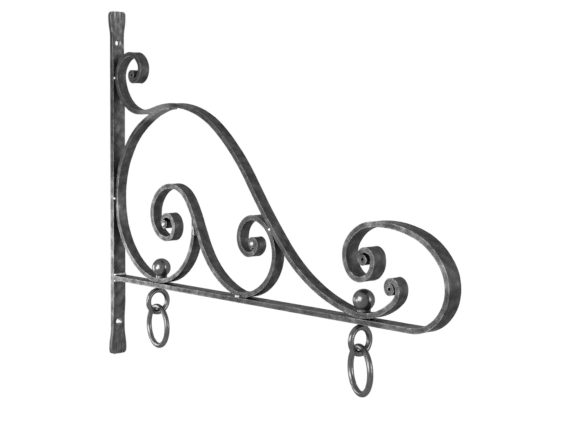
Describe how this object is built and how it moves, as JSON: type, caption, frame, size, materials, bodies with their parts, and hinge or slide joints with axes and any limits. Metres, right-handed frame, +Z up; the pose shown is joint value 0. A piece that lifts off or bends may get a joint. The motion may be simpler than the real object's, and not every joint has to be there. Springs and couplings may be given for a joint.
{
  "type": "hanging sign bracket",
  "caption": "Forged wall bracket with a level arm, a scrolled brace, scrollwork between them, and eye bolts that carry loose rings for a hanging sign.",
  "frame": {"origin": "foot of the wall bar, in the middle of its back face", "axes": "+X out from the wall along the arm, +Y across the bar widths, +Z up"},
  "size_m": [0.7788, 0.046, 0.607],
  "materials": {
    "forged_bars": "dark graphite-grey hammered steel, satin, with lighter edges",
    "bolts_and_rings": "dark graphite-grey smooth steel, satin",
    "welds": "lightly dressed weld metal, satin"
  },
  "bodies": {
    "frame": {"wall_bar": "forged_bars", "arm_bar": "forged_bars", "brace_scroll": "forged_bars", "c_scroll": "forged_bars", "s_scroll": "forged_bars", "eye_bolt_inner": "bolts_and_rings", "eye_bolt_outer": "bolts_and_rings", "ball_nut_inner": "bolts_and_rings", "ball_nut_outer": "bolts_and_rings", "weld_arm_wall": "welds", "weld_brace_wall": "welds", "weld_c_wall": "welds", "weld_s_arm": "welds", "weld_s_brace": "welds", "weld_c_s": "welds", "weld_c_brace": "welds"},
    "ring_inner": {"hanging_ring_inner": "bolts_and_rings"},
    "ring_outer": {"hanging_ring_outer": "bolts_and_rings"}
  },
  "joints": [
    {"name": "ring_inner_swing", "type": "hinge", "parent": "frame", "child": "ring_inner", "pos_m": [0.13405, -0.00698, 0.0998], "axis": [0.9877, -0.1564, 0], "range_deg": [-90, 90]},
    {"name": "ring_outer_swing", "type": "hinge", "parent": "frame", "child": "ring_outer", "pos_m": [0.61283, -0.007, 0.0998], "axis": [0.9336, -0.3584, 0], "range_deg": [-90, 90]}
  ]
}
